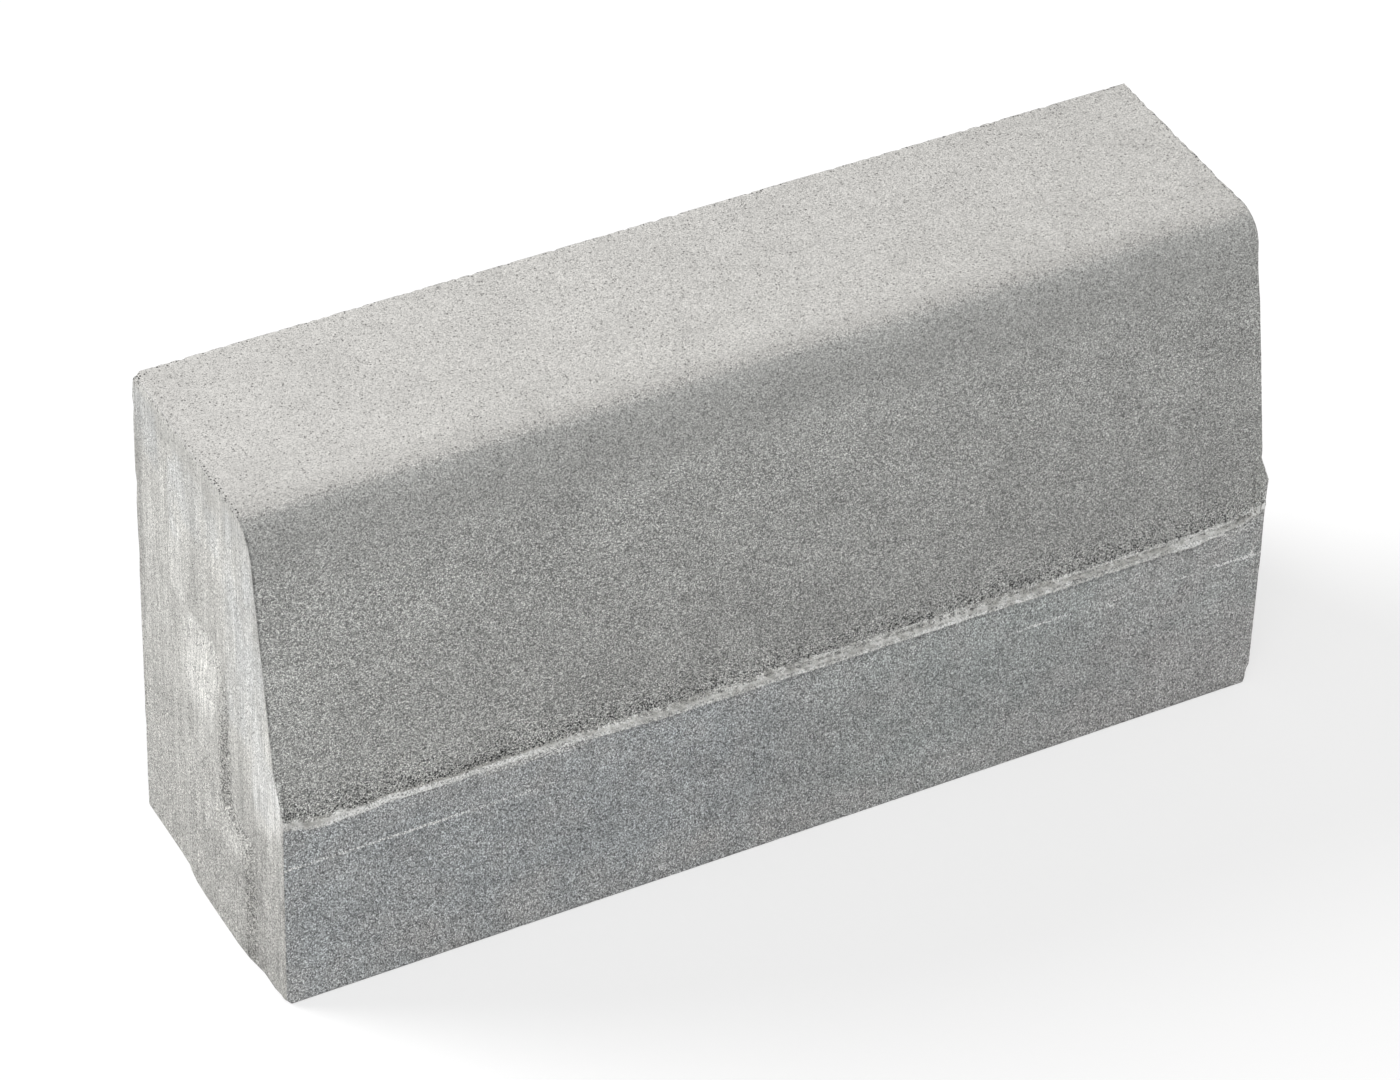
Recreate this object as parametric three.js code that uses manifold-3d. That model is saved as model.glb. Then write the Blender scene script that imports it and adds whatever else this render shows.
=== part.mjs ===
// Half-battered precast concrete kerb stone, 12/15 x 25 x 50 cm, vibro-pressed in one piece.
// Millimetres. X runs along the kerb, Y from the road side to the back, Z up from the bed face.
// The origin is at the middle of the bed face.
//
// The block is made as its press makes it: a mould box gives the blank and its spacer pads,
// and the tamper shoe presses the battered face and the ledge into the road side.

import * as THREE from 'three';
import { mergeVertices } from 'three/addons/utils/BufferGeometryUtils.js';
import Module from 'manifold-3d';

// --- Driving dimensions -------------------------------------------------------------------------

// Block
const length = 500;             // between the end faces, without the spacer pads
const baseWidth = 150;          // at the bed face
const topWidth = 120;           // from the back to where the batter would meet the top
const height = 250;
const noseRadius = 20;          // rounded edge between the top and the battered face
const sectionArris = 1.5;       // chamfer along the other long edges
const endArris = 1;             // chamfer round each end face

// Battered face, pressed by the tamper shoe
const frontHeight = 98;         // vertical lower front, up to the ledge
const ledgeDepth = 3.5;         // the batter starts this far behind the lower front
const ledgeRise = 4;            // the ledge curves up towards each end
const ledgeRiseLength = 30;

// Shoulders that the shoe leaves standing beside the end faces
const shoulderWidth = 2.5;      // along X, at the ledge
const shoulderDraft = 1;        // the shoulder is this much thinner at its top
const shoulderFrontHeight = 118;
const shoulderTopHeight = 133;  // where the shoulder's ramp meets the battered face

// Spacer pads, one on each end face: a broad foot and a narrower round-headed tongue.
// Distances in Y are from the lower front, and outlines are those at the end face.
const padThickness = 2.5;       // proud of the end face
const padFlank = 5;             // width of the sloping flank round the pad
const footFront = 30;
const footHeight = 68;
const tongueFront = 54;
const tongueShoulderHeight = 76;
const padBack = 105;
const tongueTop = 158;
const slopeStartHeight = 120;   // above this the pad's face slopes back towards the end face
const slopeEndHeight = 164;     // and would be level with it here, just above the tongue

// What cuts or trims the block runs past it by this much
const overrun = 10;

const curvePoints = 16;         // segments of each arc and curve

// --- Helpers ------------------------------------------------------------------------------------

const wasm = await Module();
wasm.setup();

// Directions in which the two kinds of outline are extruded.
const axisX = new THREE.Vector3(1, 0, 0);
const axisY = new THREE.Vector3(0, 1, 0);
const axisZ = new THREE.Vector3(0, 0, 1);
const sectionToBlock = new THREE.Matrix4().makeBasis(axisY, axisZ, axisX);
const elevationToBlock = new THREE.Matrix4().makeBasis(axisX, axisZ, axisY.clone().negate());

function toSolid(geometry) {
  const bare = geometry.clone();
  bare.deleteAttribute('normal');
  bare.deleteAttribute('uv');
  const merged = mergeVertices(bare);
  return new wasm.Manifold(new wasm.Mesh({
    numProp: 3,
    vertProperties: Float32Array.from(merged.attributes.position.array),
    triVerts: Uint32Array.from(merged.index.array),
  }));
}

function toGeometry(solid) {
  const mesh = solid.getMesh();
  const geometry = new THREE.BufferGeometry();
  geometry.setAttribute('position', new THREE.BufferAttribute(mesh.vertProperties, 3));
  geometry.setIndex(new THREE.BufferAttribute(mesh.triVerts, 1));
  geometry.computeVertexNormals();
  return geometry;
}

// A (Y, Z) outline, with Y from the lower front, extruded along X and centred on the block.
// Towards each end the outline shrinks by endInset, over the last endThickness.
function extrudeSection(outline, endThickness, endInset, span) {
  const geometry = new THREE.ExtrudeGeometry(outline, {
    depth: span - 2 * endThickness,
    curveSegments: curvePoints,
    bevelEnabled: endThickness > 0,
    bevelThickness: endThickness,
    bevelSize: endInset,
    bevelOffset: -endInset,
    bevelSegments: 1,
  });
  geometry.applyMatrix4(sectionToBlock);
  geometry.translate(endThickness - span / 2, -baseWidth / 2, 0);
  return toSolid(geometry);
}

// An (X, Z) outline extruded along Y, from yBehind the lower front to yInFront of it.
function extrudeElevation(outline, yInFront, yBehind) {
  const geometry = new THREE.ExtrudeGeometry(outline, {
    depth: yInFront + yBehind,
    curveSegments: curvePoints,
    bevelEnabled: false,
  });
  geometry.applyMatrix4(elevationToBlock);
  geometry.translate(0, yBehind - baseWidth / 2, 0);
  return toSolid(geometry);
}

// The battered face's distance behind the lower front, at a height.
function batterDepth(z) {
  const share = (z - frontHeight) / (height - frontHeight);
  return ledgeDepth + share * (baseWidth - topWidth - ledgeDepth);
}

// --- Blank from the mould box -------------------------------------------------------------------

// Section of the mould: bed, back, top, nose, batter, then the shoulder's ramp and the front.
function blankOutline() {
  const batterAngle = Math.atan2(height - frontHeight, batterDepth(height) - ledgeDepth);
  const noseY = batterDepth(height) + noseRadius * Math.tan(batterAngle / 2);
  const outline = new THREE.Shape();
  outline.moveTo(sectionArris, 0);
  outline.lineTo(baseWidth - sectionArris, 0);
  outline.lineTo(baseWidth, sectionArris);
  outline.lineTo(baseWidth, height - sectionArris);
  outline.lineTo(baseWidth - sectionArris, height);
  outline.lineTo(noseY, height);
  outline.absarc(noseY, height - noseRadius, noseRadius, Math.PI / 2, Math.PI / 2 + batterAngle, false);
  outline.lineTo(batterDepth(shoulderTopHeight), shoulderTopHeight);
  outline.lineTo(0, shoulderFrontHeight);
  outline.lineTo(0, sectionArris);
  outline.closePath();
  return outline;
}

const blank = extrudeSection(blankOutline(), endArris, endArris, length);

// --- Impression of the tamper shoe --------------------------------------------------------------

// Section of the shoe below the shoulder's top: in front of the battered face, above the ledge.
function shoeOutline() {
  const lowest = frontHeight - overrun;
  const outline = new THREE.Shape();
  outline.moveTo(-overrun, lowest);
  outline.lineTo(batterDepth(lowest), lowest);
  outline.lineTo(batterDepth(shoulderTopHeight), shoulderTopHeight);
  outline.lineTo(-overrun, shoulderTopHeight + overrun);
  outline.closePath();
  return outline;
}

// Elevation of the shoe: its lower edge is the ledge, and its sides leave the shoulders standing.
function shoeElevation() {
  const ledgeHalf = length / 2 - shoulderWidth;
  const straightHalf = ledgeHalf - ledgeRiseLength;
  const curveHandle = ledgeHalf - ledgeRiseLength / 3;
  const ledgeEndHeight = frontHeight + ledgeRise;
  const topHeight = shoulderTopHeight + overrun;
  const outline = new THREE.Shape();
  outline.moveTo(-straightHalf, frontHeight);
  outline.lineTo(straightHalf, frontHeight);
  outline.quadraticCurveTo(curveHandle, frontHeight, ledgeHalf, ledgeEndHeight);
  outline.lineTo(ledgeHalf + shoulderDraft, topHeight);
  outline.lineTo(-ledgeHalf - shoulderDraft, topHeight);
  outline.lineTo(-ledgeHalf, ledgeEndHeight);
  outline.quadraticCurveTo(-curveHandle, frontHeight, -straightHalf, frontHeight);
  return outline;
}

const shoeBar = extrudeSection(shoeOutline(), 0, 0, length + 2 * overrun);
const shoe = shoeBar.intersect(extrudeElevation(shoeElevation(), 2 * overrun, baseWidth));

// --- Spacer pads --------------------------------------------------------------------------------

// End view of a pad. It runs below the bed face, where the pad's side view ends it.
function padOutline() {
  const headRadius = (padBack - tongueFront) / 2;
  const outline = new THREE.Shape();
  outline.moveTo(footFront, -overrun);
  outline.lineTo(padBack, -overrun);
  outline.lineTo(padBack, tongueTop - headRadius);
  outline.absarc(padBack - headRadius, tongueTop - headRadius, headRadius, 0, Math.PI, false);
  outline.lineTo(tongueFront, tongueShoulderHeight);
  outline.lineTo(footFront, footHeight);
  outline.closePath();
  return outline;
}

// Side view of both pads: upright from the bed face, then sloping back to the end faces.
function padElevation() {
  const faceHalf = length / 2 + padThickness;
  const outline = new THREE.Shape();
  outline.moveTo(-faceHalf, 0);
  outline.lineTo(faceHalf, 0);
  outline.lineTo(faceHalf, slopeStartHeight);
  outline.lineTo(length / 2, slopeEndHeight);
  outline.lineTo(-length / 2, slopeEndHeight);
  outline.lineTo(-faceHalf, slopeStartHeight);
  outline.closePath();
  return outline;
}

// One bar through the block carries the pads of both ends.
const padSpan = length + 2 * padThickness;
const padBar = extrudeSection(padOutline(), padThickness, padFlank, padSpan);
const pads = padBar.intersect(extrudeElevation(padElevation(), 0, baseWidth));

// --- Kerb stone ---------------------------------------------------------------------------------

const concrete = new THREE.MeshStandardMaterial({ color: 0xa8a7a2, roughness: 0.95, metalness: 0 });

const kerbStone = new THREE.Mesh(toGeometry(blank.subtract(shoe).add(pads)), concrete);
kerbStone.name = 'kerb_stone';

const object = new THREE.Group();
object.add(kerbStone);

export default object;
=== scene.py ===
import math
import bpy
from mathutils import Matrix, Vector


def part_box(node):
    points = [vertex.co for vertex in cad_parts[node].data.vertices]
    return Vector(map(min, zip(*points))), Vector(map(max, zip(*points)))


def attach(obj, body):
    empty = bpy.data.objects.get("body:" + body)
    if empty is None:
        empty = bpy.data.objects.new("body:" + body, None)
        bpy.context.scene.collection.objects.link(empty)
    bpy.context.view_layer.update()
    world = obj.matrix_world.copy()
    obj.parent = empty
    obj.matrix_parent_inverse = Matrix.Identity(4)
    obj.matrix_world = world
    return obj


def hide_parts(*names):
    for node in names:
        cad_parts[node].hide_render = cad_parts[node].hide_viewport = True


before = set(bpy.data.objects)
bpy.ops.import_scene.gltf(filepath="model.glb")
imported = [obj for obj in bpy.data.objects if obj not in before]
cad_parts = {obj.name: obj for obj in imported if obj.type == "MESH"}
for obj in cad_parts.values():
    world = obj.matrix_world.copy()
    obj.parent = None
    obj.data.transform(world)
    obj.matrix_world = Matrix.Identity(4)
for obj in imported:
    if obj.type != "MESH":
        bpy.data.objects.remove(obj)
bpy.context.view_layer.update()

# Looks of the half-battered concrete kerb stone, 12/15 x 25 x 50 cm.
# One mesh stands for the CAD block. It has the same faces, and adds what pressing and handling
# leave on concrete: the ledge's burr and paste, worn edges, chips, pores and streaks.
# Millimetres until the mesh is made. X runs along the kerb, Y to its back, Z up from the bed.
# "Depth" is the distance behind the lower front.

from types import SimpleNamespace

import bpy
import numpy as np
from mathutils import Quaternion, Vector, noise
from mathutils.geometry import delaunay_2d_cdt

MM = 0.001

# --- Measures -----------------------------------------------------------------------------------

low, high = [np.array(corner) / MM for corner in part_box("kerb_stone")]

pad_thickness = 2.5
half_length = high[0] - pad_thickness
front = low[1]
back = high[1]
height = high[2]

top_width = 120
nose_radius = 20
arris = 0.8                # rounding of the long edges
side_rounding = 0.6        # rounding of the edges round the end faces
worn_rounding = 3.0        # the left end's top edge, worn rounder towards the back
corner_ball_inset = 12     # and its rear corner, worn down to a ball
corner_loss = 2.7

ledge_height = 98
ledge_depth = 3.5
paste_rise = 0.6           # paste fills the ledge's inner corner up to here

shoulder_width = 2.5
shoulder_draft = 1
left_shoulder_height = 108         # the shoulders' fronts end at unlike heights
right_shoulder_height = 122.5
shoulder_top_height = 128.5

pad_flank = 7.2            # width of the sloping flank round the pad
pad_rear_loss = 0.6        # the pad's face falls off a little towards its back edge
foot_front = 30
foot_height = 68
tongue_front = 54
tongue_shoulder_height = 76
pad_back = 105
tongue_top = 158
slope_start_height = 120
slope_end_height = 164

seam_height = 80           # a fine second seam runs along the lower front

# How far the right end swells out, as (height, distance).
end_swells = [(0, 0.9), (80, 0.9), (100, 0.5), (116, 0.6), (123, 0.9), (130, 2.2), (135, 2.4),
              (180, 2.2), (212, 1.8), (224, 1.1), (234, 1.1), (244, 2.6), (250, 2.7)]
bed_swell = end_swells[0][1]
top_swell = end_swells[-1][1]

grain_size = 0.40          # of the sand that shows
spot_spacing = 1.15        # between the small dark spots

# --- Along the kerb, as (x, value) --------------------------------------------------------------

# Height of the ledge's front edge.
ledge_heights = [(-250, 104.2), (-241, 102.2), (-237, 100), (-228, 99.4), (-220, 100.5), (-210, 100),
                 (-200, 101.4), (-180, 100.9), (-170, 100.3), (-150, 100.5), (-118, 101), (-105, 100.1),
                 (-85, 99), (-70, 98), (230, 98), (238, 98.6), (242, 99.5), (246, 101), (250, 101.8)]
# How high its burr stands.
burr_heights = [(-250, 0.3), (-228, 0.6), (-216, 1.5), (-135, 1.5), (-115, 0.9), (-95, 0.6), (250, 0.6)]
# The pale paste, over the surface from that edge: how far it hangs down the lower front, how far
# it reaches up, how much it covers, how white it is, and how clear its rough upper lip is.
paste_drops = [(-250, 0.4), (-105, 0.3), (-95, 0.8), (-10, 0.8), (40, 1.1), (90, 1.2), (135, 1.4),
               (150, 1.7), (186, 1.5), (192, 1.0), (200, 1.3), (204, 2.2), (214, 2.1), (218, 1.2),
               (226, 0.6), (231, -1.2), (238, -0.6), (243, -1.5), (250, -2.5)]
paste_reaches = [(-250, 4.0), (-241, 4.4), (-237, 5.3), (-226, 5.6), (-216, 3.6), (-195, 3.4),
                 (-188, 3.0), (-150, 3.0), (-125, 3.3), (-100, 5.0), (-60, 6.4), (0, 6.7),
                 (130, 6.7), (142, 5.9), (216, 5.9), (225, 6.3), (236, 6.2), (240, 6.6), (250, 6.7)]
paste_covers = [(-250, 1.2), (-236, 1.2), (-222, 1.5), (-130, 1.5), (-115, 0.9), (135, 0.9), (145, 0.7),
                (190, 0.7), (198, 1.0), (222, 0.9), (228, 0.8), (241, 0.7), (245, 0.55), (250, 0.55)]
paste_whites = [(-250, 0.75), (-240, 0.6), (-230, 0.35), (-222, 1.3), (-214, 2.2), (-170, 1.45),
                (-150, 1.4), (-130, 1.45), (-118, 0.7), (-85, 0.7), (-60, 0.5), (0, 0.6), (60, 0.6),
                (85, 0.95), (100, 0.6), (128, 0.5), (186, 0.3), (196, 0.4), (204, 1.0), (218, 0.9),
                (226, 0.6), (241, 0.5), (244, 1.3), (250, 1.6)]
lip_strengths = [(-125, 0.0), (-105, 0.7), (-70, 0.7), (-50, 0.3), (-10, 0.6), (20, 1.0), (70, 1.0),
                 (80, 0.5), (138, 0.8), (144, 2.0), (188, 2.0), (194, 0.7), (202, 1.9), (226, 2.0),
                 (234, 1.2), (242, 1.2), (245, 2.4), (250, 2.4)]
# How clear the second seam is, and how thick the dark pits above the ledge are.
seam_strengths = [(-250, 1.0), (-243, 0.9), (-240, 0.6), (-202, 0.7), (-198, 0.9), (-168, 0.9),
                  (-164, 0.5), (-132, 0.4), (-128, 0.0), (105, 0.0), (110, 0.35), (124, 0.35),
                  (127, 0.7), (141, 0.6), (147, 0.3), (152, 0.1), (195, 0.1), (200, 0.35),
                  (212, 0.35), (217, 0.1), (223, 0.1), (227, 0.88), (249, 0.9)]
pit_strengths = [(-250, 0.2), (-215, 0.5), (-207, 0.9), (-138, 0.9), (-130, 0.5), (-124, 0.9),
                 (-102, 0.9), (-80, 0.4), (-70, 0.6), (-42, 0.6), (-20, 0.3), (40, 0.4), (50, 0.8),
                 (70, 0.8), (80, 0.4), (120, 0.4), (127, 0.9), (135, 0.5), (150, 0.8), (165, 0.4),
                 (188, 0.8), (225, 0.8), (235, 0.3), (250, 0.2)]

# --- On the end faces, as (least depth, most depth, lowest, highest, softness, strength) --------

pale_zones = [
    (4, 28, 98, 120, 6, 1.12),         # wedge of white paste beside the shoulder
    (14, 28, 88, 104, 3.5, 1.1),       # its lower corner
    (15, 25, 116, 146, 5, 0.4),        # above the wedge
    (67, 94, 112, 154, 4, 0.75),       # head of the pad
    (74, 86, 92, 118, 3, 0.35),        # middle of the pad's tongue
    (84, 91, 70, 84, 3, 0.5),          # below that
    (43, 60, 54, 68, 4, 0.45),         # shoulder of the pad's foot: painted light where its flank faces up
    (66, 74, 50, 66, 3, 0.45),         # further back on the foot
    (102, 113, 158, 196, 2.5, 0.5),    # column behind the pad
    (80, 108, 172, 222, 8, 0.12),      # above the pad
    (133, 142, 150, 192, 4, 0.35),     # near the rear edge
    (120, 132, 176, 212, 5, 0.15),     # beside that
    (1.5, 4, 62, 98, 1.5, 0.7),        # front edge
]
cool_zones = [
    (20, 50, 130, 240, 9, 0.8),        # between the batter and the pad
    (126, 150, 217, 242, 7, 0.7),      # upper rear corner
    (78, 104, 208, 234, 7, 0.6),       # below the top
    (104, 112, 192, 228, 4, 0.8),      # column behind that
    (62, 78, 212, 230, 6, 0.5),        # and in front of it
    (4, 28, 98, 130, 5, 0.7),          # the paste beside the shoulder
]
dark_zones = [
    (-9, 160, 240, 260, 7, 0.055),     # along the top
    (62, 99, 160, 192, 5, 0.06),       # just above the pad
    (144, 151, 118, 216, 3, 0.12),     # rear edge
    (114, 151, 118, 236, 8, 0.065),    # behind the pad, above
    (110, 151, -9, 112, 8, 0.02),      # and below
    (125, 132, 154, 172, 3, 0.06),     # spot behind the pad's head
    (30, 55, 66, 98, 5, 0.09),         # in front of the tongue, over the foot
    (55, 60, 120, 160, 2, 0.08),       # front flank of the tongue: painted shade
    (26, 44, -9, 8, 5, 0.08),          # lower front corner of the foot
    (0, 30, -9, 78, 5, 0.09),          # in front of the foot
    (30, 100, -9, 50, 10, 0.06),       # the foot itself
    (-9, 160, -9, 14, 8, 0.05),        # along the bed
    (-9, 160, -9, 84, 50, 0.14),       # fading upwards from the bed
]

# --- Small tools --------------------------------------------------------------------------------


def smooth(value, start, stop):
    """0 before start, 1 after stop and a soft step between. start may be the larger."""
    share = np.clip((value - start) / (stop - start), 0, 1)
    return share * share * (3 - 2 * share)


def between(value, start, stop, softness):
    """1 from start to stop, and softly down to 0 outside."""
    return smooth(value, start - softness, start) * smooth(value, stop + softness, stop)


def along_kerb(x, pairs):
    return np.interp(x, *zip(*pairs))


def wavering(points, size, seed):
    """Smooth random values from about -1 to 1 that change over a distance of size."""
    shift = Vector((17.3 * seed, 5.1 * seed, 9.7 * seed))
    return np.array([noise.noise(Vector(point) / size + shift) for point in points])


def wavering_line(x, size, seed):
    """The same along the kerb only."""
    return wavering(np.column_stack([x, np.zeros_like(x), np.zeros_like(x)]), size, seed)


def straight(start, stop, shares):
    start = np.array(start, float)
    return start + np.outer(shares, np.array(stop) - start)


def arc(centre, radius, start_angle, stop_angle, steps):
    angles = np.radians(np.linspace(start_angle, stop_angle, steps + 1))
    return np.array(centre) + radius * np.column_stack([np.cos(angles), np.sin(angles)])


def shares(length, spacing):
    return np.linspace(0, 1, max(2, round(length / spacing) + 1))


# --- Sections across the kerb -------------------------------------------------------------------

batter_run = (back - front) - top_width - ledge_depth
batter_rise = height - ledge_height
batter_angle = math.degrees(math.atan2(batter_rise, batter_run))
nose_tangent = nose_radius * math.tan(math.radians(batter_angle / 2))
nose_centre = (back - top_width + nose_tangent, height - nose_radius)

front_shares = shares(ledge_height, 2.0)
ledge_shares = np.linspace(0, 1, 9)
batter_shares = np.concatenate([np.arange(0, 12, 0.8), np.linspace(12, 134, 60)]) / 134


def batter_y(z):
    return front + ledge_depth + (z - ledge_height) / batter_rise * batter_run


def upper_and_rear_nodes():
    """From the nose over the top, down the back and under the bed. It is the same everywhere."""
    nose = arc(nose_centre, nose_radius, 90 + batter_angle, 90, 14)
    top_rear = arc((back - arris, height - arris), arris, 90, 0, 4)
    bed_rear = arc((back - arris, arris), arris, 0, -90, 3)
    bed_front = arc((front + arris, arris), arris, -90, -180, 3)
    top = straight(nose[-1], top_rear[0], shares(top_rear[0][0] - nose[-1][0], 2.4))[1:-1]
    rear = straight(top_rear[-1], bed_rear[0], shares(height, 6))[1:-1]
    bed = straight(bed_rear[-1], bed_front[0], shares(back - front, 12))[1:-1]
    return np.concatenate([nose, top, top_rear, rear, bed_rear, bed, bed_front[:-1]])


fixed_nodes = upper_and_rear_nodes()


def batter_nodes(foot):
    nose_foot = fixed_nodes[0]
    heights = foot + (nose_foot[1] - foot) * batter_shares
    return np.column_stack([batter_y(heights), heights])[:-1]


def pressed_section(ledge, burr):
    """Where the shoe pressed: the lower front, the ledge with its burr and paste, and the batter."""
    rounding = 0.5 * np.maximum(0, 1 - ledge_shares / 0.25) ** 2
    rise = burr * np.sin(np.pi * np.minimum(1, ledge_shares / 0.7)) ** 1.5
    inner = ledge + paste_rise
    ledge_nodes = straight((front, ledge), (batter_y(inner), ledge), ledge_shares)
    ledge_nodes[:, 1] += rise - rounding + paste_rise * ledge_shares**2
    lower_front = straight((front, arris), ledge_nodes[0], front_shares)[:-1]
    return np.concatenate([lower_front, ledge_nodes[:-1], batter_nodes(inner), fixed_nodes])


def shoulder_section(front_height):
    """Beside the end faces, where the shoe leaves a shoulder standing."""
    crest = (front, front_height)
    ramp_top = (batter_y(shoulder_top_height), shoulder_top_height)
    lower_front = straight((front, arris), crest, front_shares)[:-1]
    ramp = straight(crest, ramp_top, ledge_shares)[:-1]
    return np.concatenate([lower_front, ramp, batter_nodes(shoulder_top_height), fixed_nodes])


def outward(section):
    """Unit normals of a closed section, pointing out of the block."""
    along = np.roll(section, -1, axis=0) - np.roll(section, 1, axis=0)
    across = np.column_stack([-along[:, 1], along[:, 0]])
    return across / np.linalg.norm(across, axis=1)[:, None]


# --- Stations along the kerb --------------------------------------------------------------------


def stations():
    """Distances along the kerb at which it is cut, closer together at the end edges."""
    wall = half_length - shoulder_width
    middle = np.linspace(-wall + 2.6, wall - 2.6, 304)
    near_wall = wall - np.array([1.6, 0.9, 0.6, 0.45, 0.3, 0.15])
    edge = half_length - np.array([2.5, 2.0, 1.5, 1.0, 0.7, 0.4, 0.15, 0.0])
    end = np.concatenate([near_wall, edge])
    return np.concatenate([-end[::-1], middle, end])


def ledge_line(x):
    """Height of the ledge, which also wanders a little."""
    wander = 0.35 * wavering_line(x, 40, 1) + 0.35 * wavering_line(x, 9, 2)
    return along_kerb(x, ledge_heights) + wander


def past_ledge(points):
    """Distance over the surface from the ledge's front edge, inwards and up the batter."""
    inwards = np.clip(points[:, 1] - front, 0, ledge_depth)
    return points[:, 2] - ledge_line(points[:, 0]) + inwards


def burr_height(x):
    """How far the squeezed-out paste stands above the ledge."""
    beads = 1 + 0.5 * wavering_line(x, 38, 3) + 0.5 * wavering_line(x, 4.5, 4)
    beads += 0.3 * wavering_line(x, 2.1, 5)
    return along_kerb(x, burr_heights) * np.clip(beads, 0.2, 1.6)


def end_inset(x, section, normals):
    """How far the section shrinks beside an end face, to round the edges there."""
    worn = smooth(normals[:, 1], 0.6, 1) * smooth(section[:, 0], nose_centre[0] - 10, back) * (x < 0)
    radius = side_rounding + (worn_rounding - side_rounding) * worn
    into = np.clip((abs(x) - (half_length - radius)) / radius, 0, 1)
    return radius * (1 - np.sqrt(1 - into**2))


def shoulder_share(x):
    """1 on the shoulder and 0 beside it."""
    wall = half_length - shoulder_width
    return smooth(np.abs(x), wall - 0.6, wall)


def shoulder_lean(x, section):
    """The shoulder's inner side leans back towards the end face."""
    wall = half_length - shoulder_width
    lean = shoulder_draft * smooth(section[:, 1], ledge_height, shoulder_top_height)
    return lean * smooth(abs(x), wall - 0.7, wall) * smooth(abs(x), half_length, wall)


def skin_grid():
    """Points of the long skin as an array of station, node and (x, y, z)."""
    x = stations()
    left_shoulder = shoulder_section(left_shoulder_height)
    right_shoulder = shoulder_section(right_shoulder_height)
    rows = []
    for here, ledge, burr, share in zip(x, ledge_line(x), burr_height(x), shoulder_share(x)):
        shoulder = left_shoulder if here < 0 else right_shoulder
        section = (1 - share) * pressed_section(ledge, burr) + share * shoulder
        normals = outward(section)
        section = section - end_inset(here, section, normals)[:, None] * normals
        along = here + math.copysign(1, here) * shoulder_lean(here, section)
        rows.append(np.column_stack([along, section]))
    return np.array(rows)


# --- End faces ----------------------------------------------------------------------------------


def pad_outline():
    """Outline of a spacer pad as (y, z) points: a broad foot and a round-headed tongue."""
    radius = (pad_back - tongue_front) / 2
    head = arc((front + pad_back - radius, tongue_top - radius), radius, 0, 180, 24)
    below = -20
    foot = [
        (front + tongue_front, tongue_shoulder_height),
        (front + foot_front, foot_height),
        (front + foot_front, below),
        (front + pad_back, below),
    ]
    return np.concatenate([head, foot])


def depth_inside(points, outline):
    """How far each point is inside a closed outline, and 0 outside."""
    starts = outline
    spans = np.roll(outline, -1, axis=0) - starts
    nearest = np.full(len(points), 1e9)
    inside = np.zeros(len(points), bool)
    for start, span in zip(starts, spans):
        offset = points - start
        share = np.clip(offset @ span / (span @ span), 0, 1)
        nearest = np.minimum(nearest, np.linalg.norm(offset - np.outer(share, span), axis=1))
        crosses = (start[1] > points[:, 1]) != (start[1] + span[1] > points[:, 1])
        if span[1]:
            meets = start[0] + (points[:, 1] - start[1]) / span[1] * span[0]
            inside ^= crosses & (points[:, 0] < meets)
    return np.where(inside, nearest, 0)


def pad_rise(points):
    """How far the end face stands proud at each (y, z) point."""
    flank = np.clip(depth_inside(points, pad_outline()) / pad_flank, 0, 1)
    soft_flank = 0.5 * flank + 0.5 * smooth(flank, 0, 1)
    slope = (slope_end_height - points[:, 1]) / (slope_end_height - slope_start_height)
    proud = pad_thickness - pad_rear_loss * smooth(points[:, 0] - front, 78, 100)
    return proud * np.minimum(soft_flank, np.clip(slope, 0, 1))


def end_cap(loop, spacing):
    """Extra points, and the triangles that fill a closed (y, z) loop with them."""
    y, z = np.meshgrid(np.arange(front, back, spacing), np.arange(0, height, spacing))
    y = y + 0.5 * spacing * (np.arange(len(y)) % 2)[:, None]
    grid = np.column_stack([y.ravel(), z.ravel()])
    grid = grid[depth_inside(grid, loop) > 0.6 * spacing]
    points = [Vector(point) for point in np.concatenate([loop, grid])]
    edges = [(i, (i + 1) % len(loop)) for i in range(len(loop))]
    corners, _, triangles, sources, _, _ = delaunay_2d_cdt(points, edges, [], 1, 1e-6, True)
    centres = np.array([sum((corners[c] for c in t), Vector((0, 0))) / 3 for t in triangles])
    kept = depth_inside(centres, loop) > 0
    return grid, [[sources[c][0] for c in t] for t, keep in zip(triangles, kept) if keep]


# --- The whole block as points and faces --------------------------------------------------------


def skin_faces(station_count, node_count):
    faces = []
    for i in range(station_count - 1):
        for j in range(node_count):
            k = (j + 1) % node_count
            here, there = i * node_count, (i + 1) * node_count
            faces.append((here + j, there + j, there + k, here + k))
    return faces


def block():
    """Points and faces of the closed block. The left end, which shows, gets the finer cap."""
    grid = skin_grid()
    station_count, node_count = grid.shape[:2]
    points = [grid.reshape(-1, 3)]
    faces = skin_faces(station_count, node_count)
    total = station_count * node_count
    for station, side, spacing in ((0, -1, 2.0), (station_count - 1, 1, 2.9)):
        loop_start = station * node_count
        extra, triangles = end_cap(grid[station, :, 1:], spacing)
        for triangle in triangles:
            corners = [
                loop_start + c if c < node_count else total + c - node_count for c in triangle
            ]
            faces.append(tuple(corners if side > 0 else corners[::-1]))
        points.append(np.column_stack([np.full(len(extra), side * half_length), extra]))
        total += len(extra)
    return np.concatenate(points), faces


def shape_ends(points):
    """Raises the spacer pads, and lets the right end swell out round its pad."""
    x = points[:, 0]
    pads = smooth(np.abs(x), half_length - 8, half_length - 0.5) * pad_rise(points[:, 1:])
    swell = smooth(x, 150, half_length) * np.interp(points[:, 2], *zip(*end_swells))
    shaped = points.copy()
    shaped[:, 0] += np.sign(x) * np.maximum(pads, swell)
    return shaped


def build_mesh(name, points, faces):
    mesh = bpy.data.meshes.new(name)
    mesh.from_pydata((points * MM).tolist(), [], faces)
    mesh.validate()
    return mesh


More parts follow.
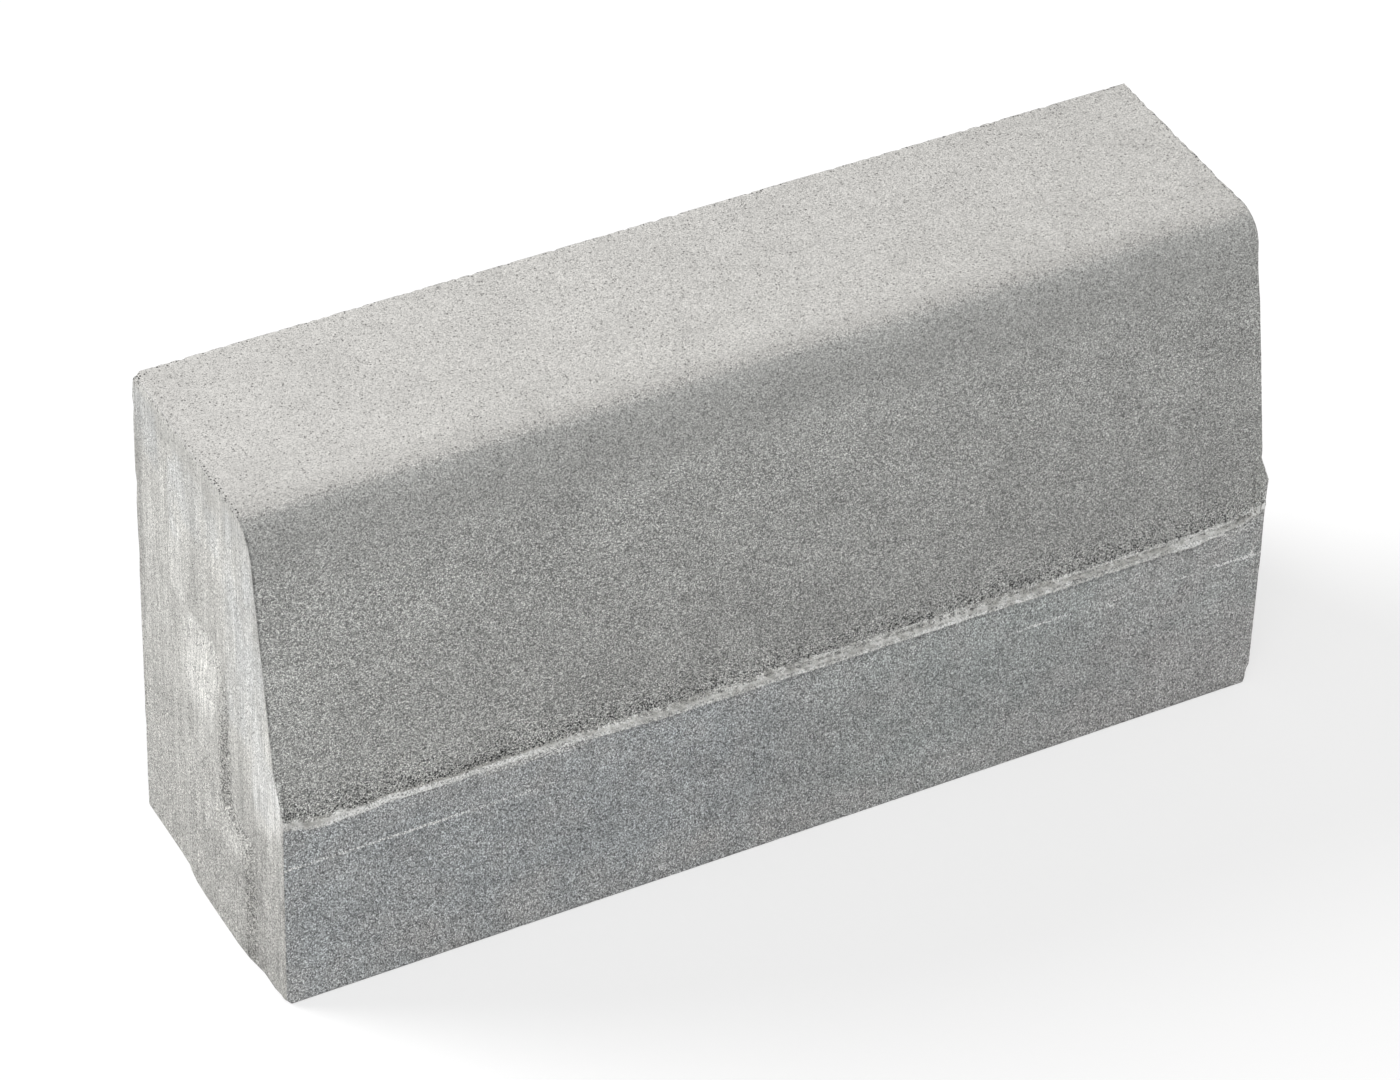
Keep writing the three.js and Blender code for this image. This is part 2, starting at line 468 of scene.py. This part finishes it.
def normals_of(mesh):
    flat = np.empty(len(mesh.vertices) * 3)
    mesh.vertex_normals.foreach_get("vector", flat)
    return flat.reshape(-1, 3)


# --- Wear ---------------------------------------------------------------------------------------


def on_nose(points):
    """1 on the upper nose, where the light falls off and would show every swell, and 0 beside it."""
    return smooth(points[:, 2], height - 34, height - 16) * smooth(points[:, 1] - front, 50, 34)


def roughen(points, normals):
    """Sinks each face by a fine relief. The bed stays flat, and the paste's lip stays proud."""
    pressed = smooth(-normals[:, 1], 0.3, 0.8)
    ends = smooth(np.abs(normals[:, 0]), 0.5, 0.9)
    drawn_out = points * (1, 1, 0.12)
    swell = 0.06 * (1 + wavering(points, 26, 11)) * (1 - 0.75 * on_nose(points))
    grain = (0.04 + 0.06 * pressed) * (1 + wavering(points, 3.4, 12))
    grooves = 0.10 * ends * (1 + wavering(drawn_out, 2.2, 13))
    lip_top = along_kerb(points[:, 0], paste_reaches)
    lip = pressed * between(past_ledge(points), lip_top - 1.2, lip_top - 0.2, 0.8)
    beads = np.clip(0.5 + 1.2 * wavering(points, 2.4, 14), 0, 1)
    sunk = (swell + grain + grooves) * (1 - smooth(-normals[:, 2], 0.5, 0.9))
    proud = 0.5 * lip * beads * along_kerb(points[:, 0], lip_strengths)
    return points - normals * (sunk - proud)[:, None]


def chip(points, centre, radius, seed):
    """Pushes the points inside a rough ball out to its surface."""
    offset = points - centre
    distance = np.linalg.norm(offset, axis=1)
    near = np.where(distance < radius * 1.3)[0]
    if not len(near):
        return
    rough_radius = radius + min(0.22 * radius, 0.5) * wavering(points[near], 1.9, seed)
    inside = distance[near] < rough_radius
    moved = near[inside]
    points[moved] = centre + offset[moved] * (rough_radius[inside] / distance[moved])[:, None]


def edge_chips(points, start, stop, away, count, largest, seed, bite=0.28):
    """Small chips at random places along an edge. away points from the edge out of the block,
    and bite is the share of a chip's radius that reaches into it."""
    random = np.random.RandomState(seed)
    start, stop = np.array(start, float), np.array(stop, float)
    away = np.array(away, float) / np.linalg.norm(away)
    for place, size in zip(random.rand(count), random.rand(count)):
        radius = 1.2 + (largest - 1.2) * size**2
        centre = start + (stop - start) * place + away * radius * (1 - bite)
        chip(points, centre, radius, seed)


def round_corner(points, corner, inward):
    """Wears a corner of the block down to a rough ball about a centre inside the block."""
    offset = points - (corner + corner_ball_inset * inward)
    distance = np.linalg.norm(offset, axis=1)
    radius = math.sqrt(3) * corner_ball_inset - corner_loss + 0.4 * wavering(points, 1.9, 31)
    worn = (distance > radius) & (np.linalg.norm(points - corner, axis=1) < corner_ball_inset)
    points[worn] -= offset[worn] * (1 - radius[worn] / distance[worn])[:, None]


def wear_edges(points):
    """Chips along the edges as the stone shows them, and its few larger broken corners."""
    left, right = -half_length, half_length + top_swell
    nose_y = nose_centre[0]
    edge_chips(points, (left, back, height), (right, back, height), (0, 1, 1), 150, 3.4, 21, 0.3)
    edge_chips(points, (right, nose_y, height), (right, back, height), (1, 0, 1), 60, 3.6, 22, 0.32)
    edge_chips(points, (left, nose_y, height), (left, back, height), (-1, 0, 1), 34, 2.2, 23)
    edge_chips(points, (-half_length, front, 0), (half_length, front, 0), (0, -1, -1), 40, 2.2, 24)
    edge_chips(points, (-half_length, back, 0), (half_length, back, 0), (0, 1, -1), 60, 4.0, 25)
    for side, end, seed in ((-1, left, 26), (1, half_length + bed_swell, 27)):
        edge_chips(points, (end, back, 0), (end, back, height), (side, 1, 0), 40, 3.6, seed, 0.36)
        edge_chips(points, (end, front, 0), (end, front, 95), (side, -1, 0), 12, 2.0, seed + 10)
    chip(points, np.array([half_length + bed_swell + 36.4, front - 8, -2]), 40, 32)
    chip(points, np.array([-half_length - 3, front - 2, -3]), 7, 34)
    round_corner(points, np.array([left, back, height]), np.array([1, -1, -1]))


def keep_in_box(points):
    """The stone never passes the CAD's box."""
    return np.clip(points, low, high)


# --- What the colouring needs to know at each point ---------------------------------------------


def bent(points):
    """The points moved a little, so that areas drawn on them get wandering outlines."""
    drawn_out = points * (1, 1, 0.4)
    shift = np.column_stack([wavering(drawn_out, 9, seed) for seed in (41, 42, 43)])
    return points + 2.5 * shift


def zones(places, rows):
    """The strongest of some soft-edged areas of an end face."""
    depth = places[:, 1] - front
    strongest = np.zeros(len(places))
    for least, most, lowest, highest, softness, strength in rows:
        area = between(depth, least, most, softness) * between(places[:, 2], lowest, highest, softness)
        strongest = np.maximum(strongest, strength * area)
    return strongest


def flank_band(points):
    """The steep flank on the front of the pad: coarse pores, and painted shade where it turns from the
    light.
    """
    depth = points[:, 1] - front
    inside = depth_inside(points[:, 1:], pad_outline())
    width = pad_flank * smooth(points[:, 2], 150, 100) + 1
    band = smooth(inside, 0, 1) * smooth(inside, width + 1, width - 2)
    on_tongue = between(points[:, 2], tongue_shoulder_height, 132, 14) * smooth(depth, 78, 68)
    on_foot = smooth(points[:, 2], 64, 50) * smooth(depth, 46, 42)
    return band * (on_tongue + 0.6 * on_foot)


def surroundings(points, normals):
    """Where each point lies and which face it is on, from which the marks are worked out."""
    at = SimpleNamespace(points=points, places=bent(points), past=past_ledge(points))
    at.x, at.y, at.z = points.T
    at.depth = at.y - front
    sideways = np.sign(at.x) * normals[:, 0]
    at.top = smooth(normals[:, 2], 0.84, 0.995)
    at.end = smooth(sideways, 0.5, 0.9)
    at.shown_end = at.end * np.where(at.x < 0, 1, 0.6)
    at.low_end = at.end * smooth(at.z, 110, 60)
    at.rear = smooth(normals[:, 1], 0.3, 0.8) * (1 - at.end)
    road = smooth(-normals[:, 1], 0.3, 0.8) * (1 - at.end)
    at.lower = road * smooth(at.past, 1, -1)
    at.inner_side = smooth(-sideways, 0.3, 0.7)
    pressed = smooth(-normals[:, 1], 0.1, 0.45) * (1 - at.end) * (1 - at.lower)
    at.pressed = np.maximum(pressed, at.inner_side)
    at.foot = at.pressed * smooth(at.past, 26, 8)
    at.porous = at.end * flank_band(points)
    at.pale = at.shown_end * zones(at.places, pale_zones)
    return at


def clouds(at):
    """Lighter and darker clouds everywhere."""
    value = 0.08 * wavering(at.points, 22, 51) + 0.05 * wavering(at.points, 80, 53)
    value += 0.05 * wavering(at.points, 7, 52)
    return value * (1 + 0.35 * (at.pressed + at.lower) - 0.25 * at.top - 0.65 * on_nose(at.points))


def end_tone(at):
    """Upright streaks on the end faces, their darker zones, and painted shade on the pad's front flank.
    """
    drawn_out = at.points * (1, 1, 0.06)
    streaks = 0.14 * wavering(drawn_out, 15, 56) + 0.12 * wavering(drawn_out, 6, 54)
    streaks += 0.11 * wavering(drawn_out, 3, 55)
    clear = 0.35 + 0.65 * smooth(at.z, 20, 110) * smooth(at.z, height - 8, height - 24)
    darker = sum(at.shown_end * zones(at.places, [row]) for row in dark_zones)
    # the last term is painted shade on the pad's front flank
    return at.shown_end * clear * streaks - darker - 0.12 * at.porous


def top_tone(at):
    """The top is darker to the right and towards the nose, and the nose itself carries painted shade
    where it turns away from the light.
    """
    value = at.top * (0.043 - 0.09 * smooth(at.x, -240, 220) - 0.033 * smooth(at.depth, 88, 54))
    nose = smooth(at.z, height - 38, height - 12) * smooth(at.depth, 56, 40)
    # painted shade on the nose, where it turns away from the key lamp
    return value - 0.085 * (1 - at.shown_end) * nose


def pressed_tone(at):
    """The battered face is darker towards its foot, has painted shadow lines beside the shoulders and
    along the left arris, and is lighter on the shoulders' inner sides and the right shoulder's front:
    partly their moulded finish, partly painted light where they lie in the key lamp's shade.
    """
    value = 0.057 - 0.178 * smooth(at.past, 130, 5) * smooth(at.x, -200, 10)
    value += 0.015 * smooth(at.past, 60, 100) * smooth(at.x, -100, -200)
    from_left = at.x + half_length
    from_right = half_length - at.x
    # painted shadow lines in the corners beside the shoulders, and one along the left arris
    shadow_beside_left = between(from_left, 2.9, 4.5, 0.5) * between(at.z, 104, 120, 4)
    shadow_beside_right = between(from_right, 2.4, 3.1, 0.3) * between(at.z, 108, 122, 4)
    arris_shadow = between(from_left, 0.4, 1.3, 0.4) * between(at.z, 130, height - 6, 6)
    arris_shadow *= np.clip(0.7 + wavering(at.points, 5, 57), 0, 1)
    value -= 0.25 * (shadow_beside_left + shadow_beside_right) + 0.4 * arris_shadow
    # painted light on the shoulders' inner sides and the right shoulder's front, partly also their
    # moulded finish
    right_shoulder = smooth(from_right, 2.0, 1.2) * between(at.z, 105, 122, 4)
    value += np.maximum(0.4 * at.inner_side, 0.25 * right_shoulder)
    return at.pressed * value


def lower_tone(at):
    """The lower front is lighter at the right and just under the ledge, and at its bottom painted light
    makes up for the shade near the floor.
    """
    # its last term is painted light at the bottom, against the shade near the floor
    value = 0.035 + 0.05 * smooth(at.x, -120, 130) * smooth(at.z, -20, 70) + 0.03 * smooth(at.z, 24, 12)
    value -= 0.042 * between(at.x, -80, 150, 60) * between(at.z, 32, 72, 8)
    value += 0.035 * between(at.x, -160, 80, 20) * smooth(at.z, 77, 85)
    return at.lower * value


def tone(at):
    """Broad lighter and darker areas, among them painted light and shade, as a factor around 1."""
    return 1 + clouds(at) + end_tone(at) + top_tone(at) + pressed_tone(at) + lower_tone(at)


def steady(grain, dark_grains):
    """What keeps a face's lightness the same however strong its grain is."""
    values = np.linspace(-0.5, 0.5, 41)[:, None]
    factors = np.exp(grain * values - dark_grains * smooth(values, -0.34, -0.5))
    return 1 / factors.mean(axis=0)


def edge_pits(points):
    """Small dark pits along the pressed top's end edges and round its left rear corner."""
    x, y, z = points.T
    left = np.hypot(x + half_length, z - height)
    right = np.hypot(x - half_length - top_swell, z - height)
    towards_nose = smooth(y, back - 35, back - 90)
    rear = np.hypot(y - back, z - height)
    rear_corner = np.linalg.norm(points - (-half_length, back, height), axis=1)
    return np.maximum.reduce([
        smooth(left, 3.0, 1.4) * towards_nose,
        smooth(right, 2.4, 1.0),
        0.4 * smooth(rear, 2.4, 1.0),
        0.8 * smooth(rear_corner, 9, 5),
    ])


def grain_strength(at):
    """How strongly the sand grains differ from each other."""
    rightward = smooth(at.x, -220, 220)
    moulded = at.lower + at.rear
    value = 0.54 + 0.17 * at.top * smooth(at.x, -240, -60)
    value += at.pressed * (1.41 - 0.24 * rightward) * (1 - 0.62 * smooth(at.past, 100, 158))
    value += 0.3 * at.foot + moulded * (1.33 - 0.24 * smooth(at.x, -80, 200)) - 0.3 * at.rear
    value += 0.44 * at.end + 0.60 * at.low_end - 0.51 * at.end * smooth(at.z, 226, 242)
    return value + 0.40 * at.porous - 0.38 * np.clip(at.pale, 0, 1)


def dark_grain_strength(at):
    """How much darker than the rest the few darkest grains are."""
    value = 0.1 + 0.5 * at.top + 0.8 * at.end - 0.4 * at.low_end
    return value + 1.7 * at.foot + 0.45 * at.lower


def bluish(at):
    """Where the moulded faces have a cold tint, which fades to the right and at the bottom."""
    patches = 0.5 * wavering(at.points, 14, 61) + 0.3 * wavering(at.points, 45, 62)
    value = 0.8 - 0.35 * smooth(at.z, 34, 12) - 0.25 * smooth(at.x, 60, 120) * smooth(at.z, 55, 35)
    value += patches - 0.55 * smooth(at.x, 120, 200)
    return (at.lower + at.rear) * np.clip(value, 0, 1)


def cool(at):
    """Where the end faces have a cold tint."""
    patches = np.clip(0.7 + wavering(at.points * (1, 1, 0.4), 11, 63), 0, 1)
    return at.shown_end * zones(at.places, cool_zones) * patches


def smear(at):
    """Where the lower front is smeared over: a patch under the ledge and two at the right end."""
    patch = between(at.x, -150, -104, 6) * smooth(at.past, -3.5, -2.5)
    right = 0.6 * between(at.x, 228, 241, 4) * between(at.z, 96, 101, 3)
    seam_end = between(at.x, 245, 246, 1) * between(at.z, 80, 87, 1)
    return 0.9 * at.lower * np.maximum.reduce([patch, right, seam_end])


def paste_marks(at):
    """The pale paste at the ledge, which is a film with a rough lip along its upper edge."""
    reach = along_kerb(at.x, paste_reaches)
    lip = between(at.past, reach - 1.4, reach + 0.4, 0.5) * along_kerb(at.x, lip_strengths)
    film = along_kerb(at.x, paste_covers) * (0.68 + 0.32 * smooth(at.past, 4.2, 2.6))
    return {
        "paste_drop": along_kerb(at.x, paste_drops),
        "paste_reach": reach,
        "paste_cover": np.maximum(film, lip),
        "paste_white": np.maximum(along_kerb(at.x, paste_whites), 0.9 * lip),
    }


def pits(at):
    """The dark pits above the paste, and those along the top edges."""
    reach = along_kerb(at.x, paste_reaches)
    above_paste = smooth(at.past, reach - 0.2, reach + 1) * smooth(at.past, reach + 7, reach + 2)
    return np.maximum(at.pressed * along_kerb(at.x, pit_strengths) * above_paste, edge_pits(at.points))


def spot_marks(at):
    """The share of round dark spots that show, and how dark they are."""
    pitted = pits(at)
    share = 0.14 + 0.08 * at.end - 0.07 * at.top + 0.06 * at.foot + 0.45 * pitted + 0.3 * at.porous
    depth = 0.4 + 0.25 * at.end + 0.4 * at.top + 2.2 * pitted + 0.4 * at.porous + 1.0 * at.foot
    return {"spot_share": np.clip(share, 0, 0.8), "spot_depth": depth}


def marks(points, normals, broken):
    """Named values at each point, which the material reads."""
    at = surroundings(points, normals)
    coloured = bluish(at)
    teal = smooth(at.x, -40, 60)
    cold = cool(at)
    grain = grain_strength(at)
    dark_grains = dark_grain_strength(at)
    return {
        "top": at.top,
        "end": at.end,
        "moulded": at.lower + at.rear,
        "pressed": at.pressed,
        "road_side": smooth(at.depth, 14, 9) * (1 - at.end),
        "past_ledge": at.past,
        "blue": coloured * (1 - teal),
        "teal": coloured * teal,
        "smear": smear(at),
        "pale": at.pale,
        "cool": cold,
        "cool_pale": cold * np.clip(at.pale, 0, 1),
        "above_seam": at.z - seam_height + 0.5 * smooth(at.x, 60, 110) + 0.4 * smooth(at.x, 215, 240),
        "seam": along_kerb(at.x, seam_strengths) * at.lower,
        "grain": grain,
        "dark_grains": dark_grains,
        "tone": steady(grain, dark_grains) * tone(at),
        "broken": broken,
    } | paste_marks(at) | spot_marks(at)


# --- The mesh -----------------------------------------------------------------------------------


def make_kerb():
    points, faces = block()
    points = shape_ends(points)
    plain = build_mesh("plain", points, faces)
    normals = normals_of(plain)
    bpy.data.meshes.remove(plain)
    points = roughen(points, normals)
    unbroken = points.copy()
    wear_edges(points)
    broken = smooth(np.linalg.norm(points - unbroken, axis=1), 0.1, 0.5)
    points = keep_in_box(points)
    mesh = build_mesh("kerb_concrete", points, faces)
    for name, values in marks(points, normals, broken).items():
        attribute = mesh.attributes.new(name, "FLOAT", "POINT")
        attribute.data.foreach_set("value", values.astype(np.float32))
    mesh.shade_smooth()
    mesh.set_sharp_from_angle(angle=math.radians(50))
    kerb = bpy.data.objects.new("kerb_concrete", mesh)
    bpy.context.scene.collection.objects.link(kerb)
    mesh.materials.append(concrete())
    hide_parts("kerb_stone")
    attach(kerb, "root")


# --- Material -----------------------------------------------------------------------------------


class Graph:
    """Short calls that add nodes to one material. Every call gives back a socket."""

    def __init__(self, material):
        material.use_nodes = True
        self.tree = material.node_tree
        self.shader = self.tree.nodes["Principled BSDF"]
        self.place = self.node("TexCoord", {}, "Object")

    def node(self, kind, inputs, output=0, **settings):
        node = self.tree.nodes.new("ShaderNode" + kind)
        for name, value in settings.items():
            setattr(node, name, value)
        for key, value in inputs.items():
            self.feed(node.inputs[key], value)
        return node.outputs[output]

    def feed(self, socket, value):
        if isinstance(value, bpy.types.NodeSocket):
            self.tree.links.new(value, socket)
        else:
            socket.default_value = value

    def math(self, operation, *values, clamp=False):
        inputs = dict(enumerate(values))
        return self.node("Math", inputs, operation=operation, use_clamp=clamp)

    def add(self, *values):
        total = values[0]
        for value in values[1:]:
            total = self.math("ADD", total, value)
        return total

    def times(self, *values):
        product = values[0]
        for value in values[1:]:
            product = self.math("MULTIPLY", product, value)
        return product

    def less(self, value, taken):
        return self.math("SUBTRACT", value, taken)

    def mark(self, name):
        return self.node("Attribute", {}, "Fac", attribute_name=name)

    def step(self, value, start, stop):
        """0 where value is at start, 1 where it is at stop, softly between."""
        inputs = {"Value": value, "From Min": start, "From Max": stop}
        return self.node("MapRange", inputs, interpolation_type="SMOOTHSTEP", clamp=True)

    def band(self, value, start, stop, softness):
        """1 between start and stop, and 0 outside."""
        lower = self.step(value, start - softness, start)
        upper = self.step(value, stop + softness, stop)
        return self.times(lower, upper)

    def scaled(self, scales):
        return self.node("VectorMath", {0: self.place, 1: scales}, operation="MULTIPLY")

    def noise(self, place, size, detail=2.0):
        """Smooth noise around 0, mostly between -1 and 1. size is in millimetres."""
        raw = self.node("TexNoise", {"Vector": place, "Scale": 1 / (size * MM), "Detail": detail}, "Fac")
        return self.node("MapRange", {
            "Value": raw, "From Min": 0.3, "From Max": 0.7, "To Min": -1, "To Max": 1,
        }, clamp=False)

    def spots(self, place, size, radius):
        """1 on scattered round spots, and a random number from 0 to 1 for each of them."""
        cell = self.tree.nodes.new("ShaderNodeTexVoronoi")
        self.feed(cell.inputs["Vector"], place)
        self.feed(cell.inputs["Scale"], 1 / (size * MM))
        number = self.node("SeparateColor", {"Color": cell.outputs["Color"]})
        return self.step(cell.outputs["Distance"], radius, radius * 0.6), number

    def cells(self, place, size):
        """A random value from -0.5 to 0.5 for each grain of that size."""
        cell = self.node("TexVoronoi", {"Vector": place, "Scale": 1 / (size * MM)}, "Color")
        return self.less(self.node("SeparateColor", {"Color": cell}), 0.5)

    def blend(self, amount, first, second):
        inputs = {0: amount, 6: first, 7: second}
        return self.node("Mix", inputs, 2, data_type="RGBA", clamp_factor=True)

    def shade(self, colour, factor):
        """The colour multiplied by a number."""
        inputs = {0: colour, "Scale": factor}
        return self.node("VectorMath", inputs, operation="SCALE")


def grey(level, red=0.0, blue=0.0):
    """A linear grey, with its red and blue a share stronger or weaker than its green."""
    return (level * (1 + red), level, level * (1 + blue), 1)


def rubbed_place(graph, rubbed):
    """Places for the grains, which are drawn out upwards where the mould wall rubbed them."""
    z = graph.node("SeparateXYZ", {0: graph.place}, 2)
    above = graph.less(z, ledge_height * MM)
    shift = graph.times(above, rubbed, -0.3)
    shift_vector = graph.node("CombineXYZ", {2: shift})
    return graph.node("VectorMath", {0: graph.place, 1: shift_vector}, operation="ADD")


def base_colour(graph):
    colour = grey(0.48, 0.008, -0.012)
    for name, shade in (
        ("pressed", grey(0.475, -0.003, -0.03)),
        ("blue", grey(0.475, -0.040, 0.018)),
        ("teal", grey(0.475, -0.044, -0.012)),
        # The top and the end faces are lighter than the long faces: partly the concrete's own finish,
        # partly painted light on the faces that the key lamp lights.
        ("end", grey(0.54, 0.014, -0.047)),
        ("top", grey(0.575, 0.021, -0.041)),
        ("cool", grey(0.585, -0.010, -0.010)),
        ("pale", grey(0.69, 0.012, -0.042)),
        ("cool_pale", grey(0.70, -0.006, -0.010)),
        ("smear", grey(0.58, 0.004, -0.02)),
    ):
        colour = graph.blend(graph.mark(name), colour, shade)
    return colour


def ledge_paste(graph, past):
    """Amount of the pale paste that was squeezed out at the ledge, and how white it is."""
    ragged = graph.noise(graph.place, 1.6, 2)
    dropped = graph.add(past, graph.mark("paste_drop"), graph.times(0.3, ragged))
    under = graph.step(dropped, -0.3, 0.3)
    from_top = graph.less(graph.add(past, graph.times(0.6, ragged)), graph.mark("paste_reach"))
    over = graph.step(from_top, 0.4, -0.4)
    curds = graph.noise(graph.place, 2.6, 2)
    solid = graph.step(graph.add(graph.times(2, graph.mark("paste_cover")), curds), 0.7, 1.3)
    streaky = graph.add(0.5, graph.times(0.45, graph.step(past, 2.5, 5)))
    white = graph.add(graph.mark("paste_white"), graph.times(streaky, graph.noise(graph.place, 3.2, 2)))
    return graph.times(under, over, solid, graph.mark("road_side")), white


def second_seam(graph):
    wander = graph.times(0.35, graph.noise(graph.place, 9, 2))
    line = graph.band(graph.add(graph.mark("above_seam"), wander), -0.5, 0.5, 0.5)
    gaps = graph.step(graph.noise(graph.place, 4, 2), -1.4, -0.3)
    return graph.times(line, gaps, graph.mark("seam"))


def surface_colour(graph, paste, white):
    """The colours of the faces, under the paste and the second seam."""
    paste_colour = graph.blend(white, grey(0.56, 0.008, -0.045), grey(0.99, 0.0, -0.022))
    colour = graph.blend(paste, base_colour(graph), paste_colour)
    return graph.blend(graph.times(0.9, second_seam(graph)), colour, grey(0.9, 0.0, -0.01))


def upright_lines(graph):
    """Fine lines that the mould walls drew as the stone left them."""
    lines = graph.noise(graph.scaled((1, 1, 0.03)), 0.95, 2)
    strength = graph.add(
        graph.times(0.17, graph.mark("end")),
        graph.times(0.10, graph.mark("pale")),
        graph.times(0.07, graph.mark("moulded")),
    )
    return graph.times(strength, lines)


def shade_under_paste(graph, past):
    """A dark line along the lower edge of the paste, where it hangs down the lower front."""
    hanging = graph.step(graph.mark("paste_drop"), 0.5, 0.9)
    below_film = graph.add(past, graph.mark("paste_drop"))
    return graph.times(graph.band(below_film, -1.5, -0.4, 0.6), hanging, graph.mark("road_side"))


def concrete():
    material = bpy.data.materials.new("concrete")
    graph = Graph(material)
    past = graph.mark("past_ledge")
    paste, white = ledge_paste(graph, past)
    rubbed = graph.math("ADD", graph.mark("moulded"), graph.mark("end"), clamp=True)
    sand = graph.cells(rubbed_place(graph, rubbed), grain_size)
    darkest = graph.step(sand, -0.34, -0.5)
    spot, number = graph.spots(graph.place, spot_spacing, 0.47)
    dark_spots = graph.times(spot, graph.math("LESS_THAN", number, graph.mark("spot_share")))
    bare = graph.less(1, graph.times(0.55, paste))
    variation = graph.add(
        graph.times(graph.mark("grain"), bare, sand),
        upright_lines(graph),
        graph.times(-1, graph.mark("spot_depth"), dark_spots, bare),
        graph.times(-1, graph.mark("dark_grains"), darkest, bare),
        graph.times(-0.25, shade_under_paste(graph, past)),
        graph.times(-0.15, graph.mark("broken")),
    )
    factor = graph.times(graph.mark("tone"), graph.math("EXPONENT", variation))
    relief = graph.add(
        graph.times(0.00010, sand),
        graph.times(-0.0005, dark_spots),
        graph.times(0.0002, paste),
    )
    normal = graph.node("Bump", {"Height": relief, "Distance": 1.0, "Strength": 0.7})
    colour = graph.shade(surface_colour(graph, paste, white), factor)
    graph.feed(graph.shader.inputs["Base Color"], colour)
    graph.feed(graph.shader.inputs["Normal"], normal)
    graph.shader.inputs["Roughness"].default_value = 0.95
    return material


make_kerb()

# --- Studio -------------------------------------------------------------------------------------

sky_strength = 0.42
key_strength = 0.825       # from behind and the left, low enough to leave the nose in shade
key_direction = (-0.638, 0.599, 0.485)
fill_strength = 0.28       # from the road side
fill_direction = (-0.25, -0.62, 0.744)
floor_colour = 0.5
floor_lift = 0.55          # added for the camera only, so that the floor shows white


def seen_directly(tree, ray_names):
    """1 for those kinds of ray, and 0 for the others."""
    path = tree.nodes.new("ShaderNodeLightPath")
    total = path.outputs[ray_names[0]]
    for name in ray_names[1:]:
        add = tree.nodes.new("ShaderNodeMath")
        add.operation = "ADD"
        add.use_clamp = True
        tree.links.new(total, add.inputs[0])
        tree.links.new(path.outputs[name], add.inputs[1])
        total = add.outputs[0]
    return total


def make_floor():
    half = 6
    corners = [(-half, -half, 0), (half, -half, 0), (half, half, 0), (-half, half, 0)]
    mesh = bpy.data.meshes.new("floor")
    mesh.from_pydata(corners, [], [(0, 1, 2, 3)])
    floor = bpy.data.objects.new("floor", mesh)
    bpy.context.scene.collection.objects.link(floor)
    material = bpy.data.materials.new("floor")
    material.use_nodes = True
    tree = material.node_tree
    shader = tree.nodes["Principled BSDF"]
    shader.inputs["Base Color"].default_value = (floor_colour, floor_colour, floor_colour, 1)
    shader.inputs["Roughness"].default_value = 1
    shader.inputs["Specular IOR Level"].default_value = 0
    shader.inputs["Emission Color"].default_value = (1, 1, 1, 1)
    lift = tree.nodes.new("ShaderNodeMath")
    lift.operation = "MULTIPLY"
    lift.inputs[1].default_value = floor_lift
    tree.links.new(seen_directly(tree, ["Is Camera Ray"]), lift.inputs[0])
    tree.links.new(lift.outputs[0], shader.inputs["Emission Strength"])
    mesh.materials.append(material)


def make_world():
    """An even sky that lights softly and shows white."""
    world = bpy.data.worlds.new("studio")
    bpy.context.scene.world = world
    world.use_nodes = True
    tree = world.node_tree
    tree.nodes.clear()
    mix = tree.nodes.new("ShaderNodeMixShader")
    seen = seen_directly(tree, ["Is Camera Ray", "Is Glossy Ray", "Is Transmission Ray"])
    tree.links.new(seen, mix.inputs[0])
    for socket, strength in ((1, sky_strength), (2, 1)):
        background = tree.nodes.new("ShaderNodeBackground")
        background.inputs["Color"].default_value = (1, 1, 1, 1)
        background.inputs["Strength"].default_value = strength
        tree.links.new(background.outputs[0], mix.inputs[socket])
    output = tree.nodes.new("ShaderNodeOutputWorld")
    tree.links.new(mix.outputs[0], output.inputs[0])


def make_lamp(name, strength, direction, spread):
    """A distant lamp. strength 1 lights a white face turned to it to plain white."""
    light = bpy.data.lights.new(name, "SUN")
    light.energy = strength * math.pi
    light.angle = math.radians(spread)
    lamp = bpy.data.objects.new(name, light)
    lamp.rotation_mode = "QUATERNION"
    lamp.rotation_quaternion = Vector(direction).to_track_quat("Z", "Y")
    bpy.context.scene.collection.objects.link(lamp)


def make_camera():
    aim = Vector((-0.00602, 0.00122, 0.1227))
    distance = 2.74549
    azimuth = math.radians(-29.2012)
    elevation = math.radians(39.1728)
    roll = math.radians(1.93)
    away = Vector((
        math.sin(azimuth) * math.cos(elevation),
        -math.cos(azimuth) * math.cos(elevation),
        math.sin(elevation),
    ))
    data = bpy.data.cameras.new("camera")
    data.sensor_width = 36
    data.lens = 155.764
    camera = bpy.data.objects.new("camera", data)
    camera.location = aim + away * distance
    camera.rotation_mode = "QUATERNION"
    camera.rotation_quaternion = away.to_track_quat("Z", "Y") @ Quaternion((0, 0, 1), roll)
    bpy.context.scene.collection.objects.link(camera)
    bpy.context.scene.camera = camera


make_floor()
make_world()
make_lamp("key", key_strength, key_direction, 35)
make_lamp("fill", fill_strength, fill_direction, 50)
make_camera()
bpy.context.scene.view_settings.view_transform = "Standard"
